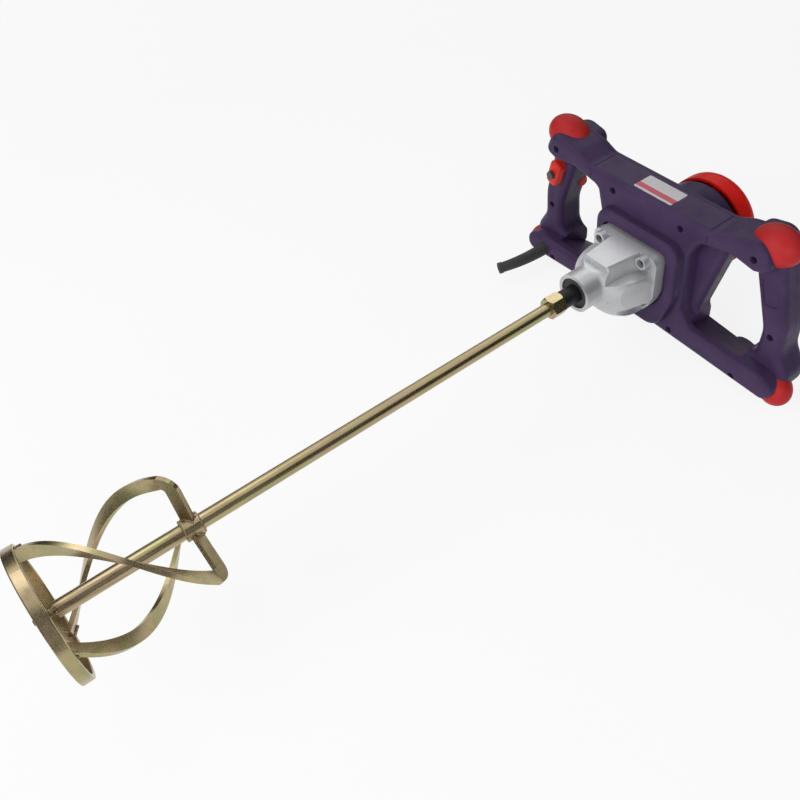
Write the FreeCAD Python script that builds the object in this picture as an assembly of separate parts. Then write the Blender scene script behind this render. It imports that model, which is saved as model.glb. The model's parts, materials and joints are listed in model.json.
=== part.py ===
"""Two-handed paddle mixer: a frame housing with two grips, a geared motor and a spiral paddle.

Millimetres. The origin is the centre of the gear case collar's front rim, on the spindle axis.
The spindle points along -Y, the grips stand left and right along X, and +Z is up.
"""
import FreeCAD, Part
import math
import os

V = FreeCAD.Vector
AXIS = V(0, 1, 0)

# Fits
seat_gap = 0.03
run_gap = 0.05
slide_gap = 0.4
weld_gap = 0.05
end_gap = 0.5

# Paddle
rod_d = 14.0
stud_depth = 11.0
hex_width = 22.0
hex_length = 17.0
hex_chamfer = 1.6
hub_d = 20.0
hub_length = 14.0
hub_y = -433.0
ring_d = 120.0
ring_y = -551.0
ring_width = 9.5
ring_round = 1.0
bar_width = 11.5
bar_thick = 4.0
ribbon_count = 3
ribbon_turn = 156.0
ribbon_bend = 9.0
arm_angle = 101.0
crossbar_angle = 50.6
ribbon_end_rise = 2.0

# Spindle and its bearings
spindle_d = 20.0
spindle_reach = 20.0
front_bearing_bore = 15.0
front_bearing_od = 35.0
front_bearing_width = 11.0
front_bearing_y = 7.0
gear_seat_d = 14.0
rear_bearing_bore = 12.0
rear_bearing_od = 28.0
rear_bearing_width = 8.0
seal_width = 4.5
seal_recess = 2.0
bearing_land = 0.28
shield_depth = 0.6
socket_spare = 1.0

# Gear train, two equal stages
module = 0.9
pinion_teeth = 10
gear_teeth = 40
pressure_angle = 25.0
addendum = 0.85
dedendum = 1.25
backlash = 0.12
face_width = 12.0
pinion_overhang = 1.0
gear_seat_margin = 2.0
web_rim = 2.5
output_hub_r = 11.0
lay_hub_r = 9.0
pinion_room = 1.0
lay_shaft_d = 8.0
bush_od = 14.0
bush_length = 7.0
bush_gap = 1.5
output_gear_y = 56.0
first_gear_y = 99.0
first_gear_width = 10.0

# Gear case
collar_d = 43.0
collar_length = 19.0
case_r = 45.0
case_sink = 14.0
case_top = 27.0
case_wall = 4.0
neck_r = 24.0
neck_y = 25.0
neck_bend = 2.5
nose_top = 20.8
roof_y = 30.5
roof_front_half = 16.4
roof_back_half = 22.0
roof_lean = 0.26
roof_round = 2.5
ledge_z = 8.5
flat_front_half = 33.0
flat_back_half = 43.5
scoop_r = 11.0
scoop_out = 4.0
oil_dot_r = 1.6
oil_dot = (27.2, -31.0)
shoulder_r = 31.0
shoulder_rise = 5.5
shoulder_y = 44.0
bell_steps = 6
bell_y = 70.0
flange_y = 74.5
flange_thick = 9.5
flange_half = 45.0
flange_corner = 10.0
cavity_y = 36.0
cavity_start = 0.3
case_screw_upper = (30.0, 21.0)
case_screw_lower = (33.0, -33.0)
case_screw_d = 5.0
case_screw_length = 30.0
case_head_d = 8.4
case_head_h = 5.0
case_head_y = 76.0
case_boss_y = 66.0
case_boss_r = 7.4
channel_wall = 3.0
plate_thick = 9.0
plate_inset = 1.0
bearing_lip = 1.0
bearing_shoulder = 4.0

# Housing shells
wall = 3.0
split_y = 142.0
bar_y = 102.0
grip_y = 122.0
collar_rim_y = 88.0
floor_thick = 4.0
floor_hole_r = 27.0
pocket_gap = 1.5
bar_back_y = 150.0
grip_back_y = 163.0
bar_round = 7.0
rim_round = 6.0
grip_round = 9.0
bar_back_round = 6.0
grip_back_round = 11.0
bar_top = 71.0
bar_bottom = -88.0
block_half = 61.0
rim_half = 58.0
rim_top = 40.0
rim_bottom = -78.0
window_floor = -66.0
slope_inner_x = 70.0
slope_outer_x = 140.0
slope_inner_drop = 14.0
slope_outer_drop = 25.0
slope_lead = 8.0
slope_height = 20.0
lobe_x = 110.0
lobe_end_round = 12.5
bottom_bow = 600.0
groove_x = 81.0
groove_width = 1.0
groove_depth = 0.6
motor_r = 51.0
tube_wall = 3.0
bracket_step = 1.5

# Screws that close the shells
shell_screw_d = 3.6
shell_head_d = 7.2
shell_head_h = 3.0
shell_head_y = 131.0
shell_hole_d = 8.0
shell_boss_d = 12.0
shell_screw_end = 147.0
shell_screws = ((137.0, 68.6), (47.4, 57.1), (163.0, -28.0), (140.0, -87.5), (51.0, -80.5))

# Motor
motor_z = -14.0
barrel_end_y = 207.0
barrel_round = 2.0
rib_width = 8.0
end_wall = 8.0
bracket_y = 111.0
bracket_thick = 8.0
bracket_holes = 8
bracket_hole_r = 5.0
bracket_hole_ring = 41.0
motor_shaft_d = 8.0
motor_bearing_bore = 10.0
motor_bearing_od = 26.0
tail_bearing_od = 22.0
tail_bearing_width = 7.0
core_y = 142.5
stator_r = 46.0
air_gap = 0.6
armature_r = 25.0
core_shaft_d = 10.0
armature_slots = 12
slot_width = 3.2
slot_depth = 8.0
coil_inner_r = 30.5
coil_outer_r = 40.0
coil_sweep = 100.0
coil_overhang = 6.0
coil_gap = 0.5
coil_slack = 3.0
coil_front_overhang = 2.5
winding_r = 22.0
winding_length = 7.0
winding_gap = 1.0
commutator_r = 11.0
commutator_length = 13.0
commutator_gap = 1.5
commutator_bars = 24
commutator_cut = 0.6
commutator_cut_depth = 1.2
fan_y = 123.0
fan_r = 45.0
fan_hub_r = 12.0
fan_height = 10.0
fan_disc = 2.0
fan_blades = 9
fan_blade = 1.6
brush_width = 6.0
brush_height = 9.0
brush_length = 16.0
holder_wall = 1.2
holder_end_r = 42.0
holder_gap = 2.0
brush_touch = 0.3
vent_count = 10
vent_width = 6.0
vent_inner_r = 17.0
vent_outer_r = 46.0

# Rear cap
inlet_gap = 6.0
cap_r = 55.0
cap_straight = 13.0
cap_height = 36.0
dome_swell = 18.0
dome_flat = 0.7
cap_wall = 3.0
cap_posts = 3
cap_post_r = 39.0
cap_post_d = 10.0
cap_screw_d = 3.6
cap_head_d = 7.0
cap_head_h = 2.6
cap_head_depth = 10.0
cap_screw_bite = 4.0

# Bumpers
bumper_flat = 1.5
foot_z = -106.5
bumper_swell = 0.55
far = 300.0
top_bumper = (143.0, 129.5, 75.5)
top_bumper_long = 27.0
top_bumper_round = 21.0
top_bumper_tilt = 5.0
low_bumper = (181.0, 126.5, -91.0)
low_bumper_long = 20.0
low_bumper_round = 18.0
low_bumper_tilt = -45.0

# Trigger, speed dial and lock button on the left grip
control = (152.0, 25.0)
grip_slant = 16.5
trigger_width = 18.0
trigger_height = 33.0
trigger_front_y = 111.0
trigger_back_y = 135.0
trigger_round = 4.5
control_round = 6.0
post_width = 8.0
post_height = 17.0
post_front_y = 129.0
pocket_floor = 1.5
pocket_slide = 0.3
switch_y = 146.0
switch_bevel = 4.5
switch_width = 18.0
switch_height = 30.0
switch_lift = 5.0
spring_wire = 0.8
trigger_spring_r = 3.0
trigger_spring_turns = 4
dial_d = 10.0
dial_height = 4.5
dial_stem_d = 5.0
dial_stem = 4.0
dial_flutes = 10
dial_flute_r = 1.0
dial_round = 0.8
dial_gap = 0.4
blank_step = 0.8
lock_spot = (152.0, 3.0)
lock_d = 14.0
lock_face_x = 139.0
lock_length = 20.0
lock_gap = 0.3
lock_hole_in = 13.0
lock_hole_out = 7.0
lock_round = 3.0
lock_pocket = 9.0
lock_pocket_r = 4.0
lock_spring_r = 2.8
lock_spring_turns = 6
brush_spring_turns = 4

# Cord boot
boot_root = V(-156.0, bar_y, -82.0)
boot_tip = V(-169.5, 38.0, -87.5)
boot_bow = 3.0
boot_root_r = 8.0
boot_tip_r = 6.2
boot_bore_r = 3.9
boot_rim = 0.8
boot_rim_length = 5.0
boot_flange_r = 9.2
boot_flange = 3.0

# Worked out from the sizes above
rod_r = rod_d / 2
spindle_r = spindle_d / 2
hex_back_y = -spindle_reach
hex_front_y = hex_back_y - hex_length
ring_r = ring_d / 2
ring_inner_r = ring_r - bar_thick
ribbon_r = ring_inner_r - weld_gap - bar_width / 2
flange_back_y = flange_y + flange_thick
plate_back_y = flange_back_y + plate_thick
floor_back_y = plate_back_y + floor_thick
stage_gap = module * (pinion_teeth + gear_teeth) / 2
lay_z = motor_z / 2
lay_x = math.sqrt(stage_gap ** 2 - lay_z ** 2)
mesh_angle = math.degrees(math.atan2(lay_z, lay_x))
pinion_tip_r = module * (pinion_teeth / 2 + addendum)
tube_r = motor_r + tube_wall
bush_y = output_gear_y - pinion_overhang - bush_length - bush_gap
pocket_front_y = trigger_front_y + dial_stem + end_gap + pocket_floor
tail_bearing_y = barrel_end_y - end_wall
commutator_y = tail_bearing_y - commutator_gap - commutator_length
core_end_y = commutator_y - winding_gap - winding_length
cap_y = barrel_end_y + inlet_gap
cap_head_y = cap_y + cap_head_depth
cap_screw_end = barrel_end_y - cap_screw_bite
lay_end_y = bracket_y + bracket_thick
frame_side = [(86, bar_top, 16), (104, bar_top + 8, 30), (146, bar_top + 17, 18), (160, 58, 30),
              (177, -12, 60), (177, -46, 25), (191, -70, 18), (190, bar_bottom - 8, 14)]
beam_side = [(157, 60, 9), (138, 53, 9), (112, 58, 12), (72, 50, 14), (block_half, 26, 20),
             (block_half, -48, 12), (74, window_floor + 1, 12), (172, window_floor - 1, 9), (188, -76, 9),
             (189, bar_bottom - 8, 13)]
rim_side = [(rim_half, rim_top, 18), (rim_half, -30, 40), (40, rim_bottom, 22)]
window_corners = [(66, window_floor + 2, 14), (148, window_floor, 15), (150, -25, 40), (127, 46, 12),
                  (98, 54, 16)]
case_screws = [(sign * x, z) for x, z in (case_screw_upper, case_screw_lower) for sign in (-1, 1)]
all_shell_screws = [(sign * x, z) for x, z in shell_screws for sign in (-1, 1)]
brush_spring_r = (brush_width - spring_wire) / 2 - slide_gap
post_angles = [90 + i * 360 / cap_posts for i in range(cap_posts)]


def bar(y0, y1, r, x=0.0, z=0.0):
    """Round bar along Y."""
    return Part.makeCylinder(r, y1 - y0, V(x, y0, z), AXIS)


def tube(y0, y1, r_out, r_in, x=0.0, z=0.0):
    """Hollow round bar along Y."""
    return bar(y0, y1, r_out, x, z).cut(bar(y0, y1, r_in, x, z))


def block(x0, x1, y0, y1, z0, z1):
    """Box between two corners."""
    return Part.makeBox(x1 - x0, y1 - y0, z1 - z0, V(x0, y0, z0))


def polar(radius, degrees, y=0.0):
    """Point at an angle measured from +X towards +Z."""
    angle = math.radians(degrees)
    return V(radius * math.cos(angle), y, radius * math.sin(angle))


def bezier(*poles):
    """Smooth edge in the plane of X and Y, drawn for turning about Y."""
    curve = Part.BezierCurve()
    curve.setPoles([V(x, y, 0) for x, y in poles])
    return curve.toShape()


def turned(edges):
    """Solid of revolution about Y; straight edges close the profile along the axis."""
    first = edges[0].valueAt(edges[0].FirstParameter)
    last = edges[-1].valueAt(edges[-1].LastParameter)
    closing = [Part.makeLine(last, V(0, last.y, 0)), Part.makeLine(V(0, last.y, 0), V(0, first.y, 0))]
    closing.append(Part.makeLine(V(0, first.y, 0), first))
    return Part.Face(Part.Wire(edges + closing)).revolve(V(), AXIS, 360)


def on_motor_axis(shape):
    """Lower a shape drawn about the spindle axis to the motor axis."""
    shape.translate(V(0, 0, motor_z))
    return shape


def union(shapes):
    """One solid from several that meet."""
    return shapes[0].multiFuse(shapes[1:]).removeSplitter()


def rounded_wire(corners, y):
    """Closed wire of lines and corner arcs; each corner is (x, z, radius)."""
    arcs = []
    for i, (x, z, radius) in enumerate(corners):
        here = V(x, y, z)
        last = corners[i - 1]
        following = corners[(i + 1) % len(corners)]
        back = (V(last[0], y, last[1]) - here).normalize()
        ahead = (V(following[0], y, following[1]) - here).normalize()
        half = back.getAngle(ahead) / 2
        run = radius / math.tan(half)
        middle = here + (back + ahead).normalize() * (radius / math.sin(half) - radius)
        arcs.append((here + back * run, middle, here + ahead * run))
    edges = []
    for i, (start, middle, end) in enumerate(arcs):
        edges.append(Part.Arc(start, middle, end).toShape())
        edges.append(Part.LineSegment(end, arcs[(i + 1) % len(arcs)][0]).toShape())
    return Part.Wire(edges)


def mirrored(corners):
    """Right-hand corners from top to bottom, then the same ones on the left, upwards."""
    return corners + [(-x, z, r) for x, z, r in reversed(corners)]


def flat_edges(shape, y):
    """Edges that lie in one plane square to Y."""
    return [e for e in shape.Edges if abs(e.BoundBox.YMin - y) < 1e-4 and abs(e.BoundBox.YMax - y) < 1e-4]


def slab(face, y0, y1, round_y, radius):
    """Face drawn at y0, extruded to y1, with its rim in the plane round_y rounded."""
    solid = face.extrude(V(0, y1 - y0, 0))
    return solid.makeFillet(radius, flat_edges(solid, round_y))


def inset(face, distance):
    """The same face with its outline moved inwards."""
    return face.makeOffset2D(-distance)


def coil(start, direction, length, radius, turns):
    """Round-wire spring in half turns, each a tilted half ring that meets the next one smoothly."""
    rise = length / (2 * turns)
    pieces = []
    for i in range(2 * turns):
        side = -1 if i % 2 else 1
        begin = V(side * radius, 0, i * rise)
        middle = V(0, 0, (i + 0.5) * rise)
        pivot = (begin - middle).cross(V(0, side, 0))
        section = Part.Face(Part.Wire(Part.makeCircle(spring_wire / 2, begin, AXIS)))
        pieces.append(section.revolve(middle, pivot, 180))
    spring = union(pieces)
    spring.Placement = FreeCAD.Placement(start, FreeCAD.Rotation(V(0, 0, 1), direction))
    return spring


def paddle_rod():
    """Plain rod whose end is the stud in the spindle."""
    return bar(ring_y + bar_width / 2, hex_back_y + stud_depth, rod_r)


def paddle_hex():
    """Hexagon for the spanner, chamfered at both ends."""
    corner_r = hex_width / math.sqrt(3)
    corners = [polar(corner_r, 60 * i, hex_front_y) for i in range(6)]
    prism = Part.Face(Part.makePolygon(corners + corners[:1])).extrude(V(0, hex_length, 0))
    flat_r = hex_width / 2
    grow = corner_r - flat_r + hex_chamfer
    cones = Part.makeCone(flat_r, flat_r + grow, grow, V(0, hex_front_y, 0), AXIS)
    cones = cones.fuse(bar(hex_front_y + grow, hex_back_y - grow, flat_r + grow))
    cones = cones.fuse(Part.makeCone(flat_r + grow, flat_r, grow, V(0, hex_back_y - grow, 0), AXIS))
    return prism.common(cones).cut(bar(hex_front_y, hex_back_y, rod_r + seat_gap))


def paddle_hub():
    """Weld sleeve that carries the three arms."""
    return tube(hub_y - hub_length / 2, hub_y + hub_length / 2, hub_d / 2, rod_r + seat_gap)


def paddle_ring():
    """Flat band standing on edge round the paddle's end."""
    low = ring_y - ring_width / 2
    high = ring_y + ring_width / 2
    ring = tube(low, high, ring_r, ring_inner_r)
    return ring.makeFillet(ring_round, flat_edges(ring, low) + flat_edges(ring, high))


def paddle_crossbar():
    """Flat bar across the ring, with the rod on its middle."""
    reach = ring_inner_r - weld_gap
    low = ring_y - bar_width / 2
    high = ring_y + bar_width / 2
    flat = block(-ring_r, ring_r, low, high, -bar_thick / 2, bar_thick / 2)
    flat.rotate(V(), AXIS, -crossbar_angle)
    return flat.common(bar(low, high, reach))


def ribbon(start_angle):
    """Flat bar: a radial arm, a bend on edge, then half a turn of helix down to the ring."""
    drop = hub_y - ring_y - ribbon_end_rise
    lead = math.atan2(drop, ribbon_r * math.radians(ribbon_turn))
    bend_r = ribbon_r - ribbon_bend

    def frame(degrees):
        out = polar(1, degrees)
        along = polar(math.cos(lead), degrees + 90) - AXIS * math.sin(lead)
        return out, along, out.cross(along).normalize()

    def section(centre, across, through):
        w = across * (bar_width / 2)
        t = through * (bar_thick / 2)
        corners = [centre + w + t, centre + w - t, centre - w - t, centre - w + t]
        return Part.makePolygon(corners + corners[:1])

    out, along, through = frame(start_angle)
    hub_centre = V(0, hub_y, 0)
    arm_sections = [section(hub_centre + out * r, along * -1, through) for r in (rod_r, bend_r)]
    bend_sections = []
    bend_steps = 6
    for i in range(bend_steps + 1):
        angle = math.radians(90) * i / bend_steps
        reach = out * (bend_r + ribbon_bend * math.sin(angle))
        centre = hub_centre + reach + along * (ribbon_bend * (1 - math.cos(angle)))
        bend_sections.append(section(centre, out * math.sin(angle) - along * math.cos(angle), through))
    flight_sections = bend_sections[-1:]
    bent = math.degrees(math.atan2(ribbon_bend * math.cos(lead), ribbon_r))
    flight_steps = 12
    for i in range(1, flight_steps + 1):
        turned = bent + (ribbon_turn - bent) * i / flight_steps
        out, along, through = frame(start_angle + turned)
        centre = out * ribbon_r + V(0, hub_y - drop * turned / ribbon_turn, 0)
        flight_sections.append(section(centre, out, through))
    arm = Part.makeLoft(arm_sections, True, True)
    bend = Part.makeLoft(bend_sections, True, True)
    flight = Part.makeLoft(flight_sections, True, False)
    whole = union([arm, bend, flight])
    return whole.cut(bar(hub_y - hub_d, hub_y + hub_d, hub_d / 2 + weld_gap))


def tooth_face(teeth, y, first_tooth):
    """Involute spur gear outline, with a tooth centred on the angle first_tooth."""
    pitch_r = module * teeth / 2
    base_r = pitch_r * math.cos(math.radians(pressure_angle))
    tip_r = pitch_r + addendum * module
    root_r = pitch_r - dedendum * module
    half_pitch_angle = (math.pi * module / 2 - backlash) / (2 * pitch_r)

    def unwind(r):
        roll = math.acos(min(1.0, base_r / r))
        return math.tan(roll) - roll

    start_r = max(base_r, root_r)
    flank = [start_r + (tip_r - start_r) * i / 3 for i in range(4)]
    offsets = [(r, half_pitch_angle + unwind(pitch_r) - unwind(r)) for r in flank]
    offsets = [(root_r, offsets[0][1])] + offsets
    points = []
    for i in range(teeth):
        centre = first_tooth + 360.0 * i / teeth
        points += [polar(r, centre - math.degrees(a), y) for r, a in offsets]
        points += [polar(r, centre + math.degrees(a), y) for r, a in reversed(offsets)]
    return Part.Face(Part.makePolygon(points + points[:1]))


def spur(teeth, y, width, first_tooth, x=0.0, z=0.0):
    """Solid spur gear along Y."""
    gear = tooth_face(teeth, y, first_tooth).extrude(V(0, width, 0))
    gear.translate(V(x, 0, z))
    return gear


def web_cut(gear, y, width, hub_r, x=0.0, z=0.0):
    """Recess both sides of a gear between its hub and its rim."""
    rim_r = module * (gear_teeth / 2 - dedendum) - web_rim
    recess = width / 4
    front = tube(y, y + recess, rim_r, hub_r, x, z)
    back = tube(y + width - recess, y + width, rim_r, hub_r, x, z)
    return gear.cut(front.fuse(back))


def spindle():
    """Stepped output spindle with the threaded socket at its front."""
    end_y = flange_back_y + rear_bearing_width
    gear_start = output_gear_y - gear_seat_margin
    gear_end = output_gear_y + face_width + gear_seat_margin
    shoulder_y = front_bearing_y - end_gap
    steps = [bar(-spindle_reach, shoulder_y, spindle_r)]
    steps.append(bar(shoulder_y, gear_start, front_bearing_bore / 2))
    steps.append(bar(gear_start, gear_end, gear_seat_d / 2))
    steps.append(bar(gear_end, end_y, rear_bearing_bore / 2))
    socket = bar(-spindle_reach, -spindle_reach + stud_depth + socket_spare, rod_r + seat_gap)
    return union(steps).cut(socket)


def bearing(y, width, r_out, r_in, x=0.0, z=0.0):
    """Ball bearing as one closed ring with its shield grooves."""
    ring = tube(y, y + width, r_out - seat_gap, r_in + run_gap, x, z)
    land = (r_out - r_in) * bearing_land
    groove = tube(y, y + shield_depth, r_out - land, r_in + land, x, z)
    other = groove.copy()
    other.translate(V(0, width - shield_depth, 0))
    return ring.cut(groove.fuse(other))


def spindle_seal():
    """Lip seal in the mouth of the collar."""
    return tube(seal_recess, seal_recess + seal_width, front_bearing_od / 2 - seat_gap, spindle_r + run_gap)


def output_gear():
    """Large gear keyed to the spindle."""
    gear = spur(gear_teeth, output_gear_y, face_width, mesh_angle)
    gear = web_cut(gear, output_gear_y, face_width, output_hub_r)
    return gear.cut(bar(output_gear_y, output_gear_y + face_width, gear_seat_d / 2 + seat_gap))


def layshaft():
    """Second shaft, with the small gear of the output stage cut on it."""
    pinion_y = output_gear_y - pinion_overhang
    pinion_end = output_gear_y + face_width + pinion_overhang
    half_pitch = 180.0 / pinion_teeth
    pinion = spur(pinion_teeth, pinion_y, pinion_end - pinion_y, mesh_angle + 180 + half_pitch, lay_x, lay_z)
    front = bar(bush_y + end_gap, pinion_y, lay_shaft_d / 2, lay_x, lay_z)
    back = bar(pinion_end, lay_end_y, lay_shaft_d / 2, lay_x, lay_z)
    return union([pinion, front, back])


def layshaft_gear():
    """Large gear driven by the motor pinion."""
    gear = spur(gear_teeth, first_gear_y, first_gear_width, 180 - mesh_angle, lay_x, lay_z)
    gear = web_cut(gear, first_gear_y, first_gear_width, lay_hub_r, lay_x, lay_z)
    end_y = first_gear_y + first_gear_width
    return gear.cut(bar(first_gear_y, end_y, lay_shaft_d / 2 + seat_gap, lay_x, lay_z))


def bush(y, length):
    """Plain bearing of the second shaft."""
    return tube(y, y + length, bush_od / 2 - seat_gap, lay_shaft_d / 2 + run_gap, lay_x, lay_z)


def flange_wire(grow, y):
    """Gear case flange: half round below, square shoulders with rounded corners above."""
    half = flange_half + grow
    top = case_top + grow
    corner = flange_corner + grow
    slant = corner * (1 - math.sqrt(0.5))
    right = V(half, y, -case_sink)
    left = V(-half, y, -case_sink)
    edges = [Part.Arc(right, V(0, y, -case_sink - half), left).toShape()]
    edges.append(Part.LineSegment(left, V(-half, y, top - corner)).toShape())
    edges.append(Part.Arc(V(-half, y, top - corner), V(slant - half, y, top - slant),
                          V(corner - half, y, top)).toShape())
    edges.append(Part.LineSegment(V(corner - half, y, top), V(half - corner, y, top)).toShape())
    edges.append(Part.Arc(V(half - corner, y, top), V(half - slant, y, top - slant),
                          V(half, y, top - corner)).toShape())
    edges.append(Part.LineSegment(V(half, y, top - corner), right).toShape())
    return Part.Wire(edges)


def flange_slab(grow, y0, y1):
    """Flange outline extruded along Y."""
    return Part.Face(flange_wire(grow, y0)).extrude(V(0, y1 - y0, 0))


def bell(shrink, start):
    """Round body that widens and sinks from the neck to the flange; shrink draws it in by a wall."""
    spine = Part.BezierCurve()
    spine.setPoles([V(neck_r, neck_y, 0), V(shoulder_r, neck_y + shoulder_rise, 0), V(case_r, shoulder_y, 0),
                    V(case_r, bell_y, 0)])
    rings = []
    for i in range(bell_steps + 1):
        point = spine.value(start + (1 - start) * i / bell_steps)
        sink = case_sink * (point.x - neck_r) / (case_r - neck_r)
        rings.append(Part.Wire(Part.makeCircle(point.x - shrink, V(0, point.y, -sink), AXIS)))
    return Part.makeLoft(rings, True).fuse(bar(bell_y, flange_back_y, case_r - shrink, 0, -case_sink))


def neck():
    """Collar and the concave neck behind it."""
    collar_r = collar_d / 2
    edges = [Part.makeLine(V(collar_r, 0, 0), V(collar_r, collar_length, 0))]
    edges.append(bezier((collar_r, collar_length), (collar_r, neck_y - neck_bend), (neck_r, neck_y)))
    edges.append(Part.makeLine(V(neck_r, neck_y, 0), V(neck_r, neck_y + end_gap, 0)))
    return turned(edges)


def roof(shrink, y0, y1, base, top):
    """Block with leaning sides that widens towards the flange; shrink draws its sides in by a wall."""
    wires = []
    for y in (y0, y1):
        share = max(0.0, (y - roof_y) / (flange_back_y - roof_y))
        half = roof_front_half + (roof_back_half - roof_front_half) * share - shrink
        upper = half + roof_lean * (case_top - top)
        lower = half + roof_lean * (case_top - base)
        corners = [V(-lower, y, base), V(-upper, y, top), V(upper, y, top), V(lower, y, base)]
        wires.append(Part.makePolygon(corners + corners[:1]))
    return Part.makeLoft(wires, True, True)


def side_flats(shrink):
    """Wedges outside the flats on the casting's two sides."""
    front = flat_front_half - shrink
    back = flat_back_half - shrink
    out = 2 * case_r
    corners = [V(front, roof_y, -out), V(back, flange_y, -out), V(out, flange_y, -out), V(out, roof_y, -out)]
    right = Part.Face(Part.makePolygon(corners + corners[:1])).extrude(V(0, 0, 2 * out))
    return right.fuse(right.mirror(V(), V(1, 0, 0)))


def scoops(grow):
    """Round channels that let the lower screws in from the front."""
    spots = [(math.copysign(abs(x) + scoop_out, x), z - scoop_out) for x, z in case_screws if z < 0]
    return [bar(0, flange_y, scoop_r + grow, x, z) for x, z in spots]


def casting():
    """Outside of the gear case without its holes."""
    round_part = union([neck(), bell(0, 0)])
    low = round_part.BoundBox.ZMin
    below = round_part.common(block(-case_r, case_r, 0, flange_back_y, low, ledge_z)).cut(side_flats(0))
    collar = bar(0, collar_length, collar_d / 2)
    nose = round_part.common(roof(0, collar_length, roof_y + roof_round, 0, nose_top))
    top = roof(0, roof_y, flange_back_y, 0, case_top)
    upper = [e for e in top.Edges if e.BoundBox.ZMax > ledge_z and e.BoundBox.YMin < flange_y]
    sharp = [e for e in upper if e.BoundBox.ZMin > ledge_z or e.BoundBox.YMax < roof_y + end_gap]
    top = top.makeFillet(roof_round, sharp)
    cut = scoops(0)
    body = union([below, collar, nose, top]).cut(cut[0].fuse(cut[1]))
    bosses = [bar(case_boss_y, flange_y, case_boss_r, x, z) for x, z in case_screws if z > 0]
    dot_spot = polar(oil_dot[0], oil_dot[1], neck_y + shoulder_rise / 2)
    dot = Part.makeSphere(oil_dot_r, dot_spot)
    return union([body, flange_slab(0, flange_y, flange_back_y), dot] + bosses)


def gear_case():
    """Die-cast gear case with its collar, screw channels and open back."""
    hollow = bell(case_wall, cavity_start)
    low = hollow.BoundBox.ZMin
    below = hollow.common(block(-case_r, case_r, 0, flange_back_y, low, ledge_z - case_wall))
    keep = scoops(channel_wall)
    keep += [bar(flange_y, flange_back_y, scoop_r, x, z) for x, z in case_screws if z < 0]
    keep.append(bar(0, bush_y + bush_length, bush_od / 2 + channel_wall, lay_x, lay_z))
    below = below.cut(side_flats(case_wall)).cut(keep[0].multiFuse(keep[1:]))
    base = lay_z + (bush_od + channel_wall) / 2
    cavity = union([below, roof(case_wall, cavity_y, flange_back_y, base, case_top - case_wall)])
    seat_end = front_bearing_y + front_bearing_width
    holes = [bar(0, seat_end, front_bearing_od / 2)]
    holes.append(bar(seat_end, output_gear_y, front_bearing_od / 2 - bearing_shoulder))
    holes.append(bar(bush_y, flange_y, bush_od / 2, lay_x, lay_z))
    holes += [bar(case_boss_y, case_head_y, case_head_d / 2 + slide_gap, x, z) for x, z in case_screws]
    holes += [bar(case_head_y, flange_back_y, case_screw_d / 2 + seat_gap, x, z) for x, z in case_screws]
    return casting().cut(cavity.multiFuse(holes))


def bearing_plate():
    """Plate behind the gear case that carries the spindle's rear bearing."""
    plate = flange_slab(-plate_inset, flange_back_y, plate_back_y)
    seat_end = flange_back_y + rear_bearing_width
    holes = [bar(flange_back_y, seat_end, rear_bearing_od / 2)]
    holes.append(bar(seat_end, plate_back_y, rear_bearing_od / 2 - bearing_lip))
    holes.append(bar(flange_back_y, plate_back_y, pinion_tip_r + slide_gap, lay_x, lay_z))
    holes += [bar(flange_back_y, plate_back_y, case_screw_d / 2 + seat_gap, x, z) for x, z in case_screws]
    return plate.cut(holes[0].multiFuse(holes[1:]))


def case_screw_set():
    """Four screws that hold the gear case and the bearing plate to the front shell."""
    screws = []
    for x, z in case_screws:
        head = bar(case_head_y - case_head_h, case_head_y, case_head_d / 2, x, z)
        drive = bar(case_head_y - case_head_h, case_head_y - case_head_h / 2, case_screw_d / 2, x, z)
        shank = bar(case_head_y, case_head_y + case_screw_length, case_screw_d / 2, x, z)
        screws.append(head.cut(drive).fuse(shank))
    return Part.makeCompound(screws)


def frame_face(y):
    """Whole frame seen from the front: outline with a hand window either side."""
    corners = frame_side + [(0, bar_bottom, bottom_bow)] + [(-x, z, r) for x, z, r in reversed(frame_side)]
    windows = [rounded_wire([(sign * x, z, r) for x, z, r in window_corners], y) for sign in (-1, 1)]
    return Part.Face(rounded_wire(corners, y)).cut([Part.Face(w) for w in windows]).Faces[0]


def on_line(start, end, x):
    """Height at x on the line between two corners."""
    return start[1] + (end[1] - start[1]) * (x - start[0]) / (end[0] - start[0])


def outer_x(z):
    """Half width of the frame at a height beside the grip."""
    (x0, z0, _), (x1, z1, _) = frame_side[3:5]
    return on_line((z0, x0), (z1, x1), z)


def lobe_face(sign, y):
    """Deep part of the rear, one side: grip, corner lobes and the ends of both bars."""
    floor_left, floor_right, grip_low, grip_high, window_high = window_corners
    corners = [(lobe_x, on_line(frame_side[1], frame_side[2], lobe_x), lobe_end_round)] + frame_side[2:]
    corners.append((lobe_x, on_line(frame_side[-1], (0, bar_bottom), lobe_x), lobe_end_round))
    corners.append((lobe_x, on_line(floor_left, floor_right, lobe_x), lobe_end_round))
    corners += [floor_right, grip_low, grip_high]
    corners.append((lobe_x, on_line(window_high, grip_high, lobe_x), lobe_end_round))
    return Part.Face(rounded_wire([(sign * x, z, r) for x, z, r in corners], y))


def beam_face(y):
    """Raised part of the front: top bar with its screw lobes, motor block and bottom bar."""
    side = frame_side[:3] + beam_side
    corners = side + [(0, bar_bottom, bottom_bow)] + [(-x, z, r) for x, z, r in reversed(side)]
    return Part.Face(rounded_wire(corners, y))


def rim_face(y):
    """Raised rim round the gear case."""
    return Part.Face(rounded_wire(mirrored(rim_side), y))


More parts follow.
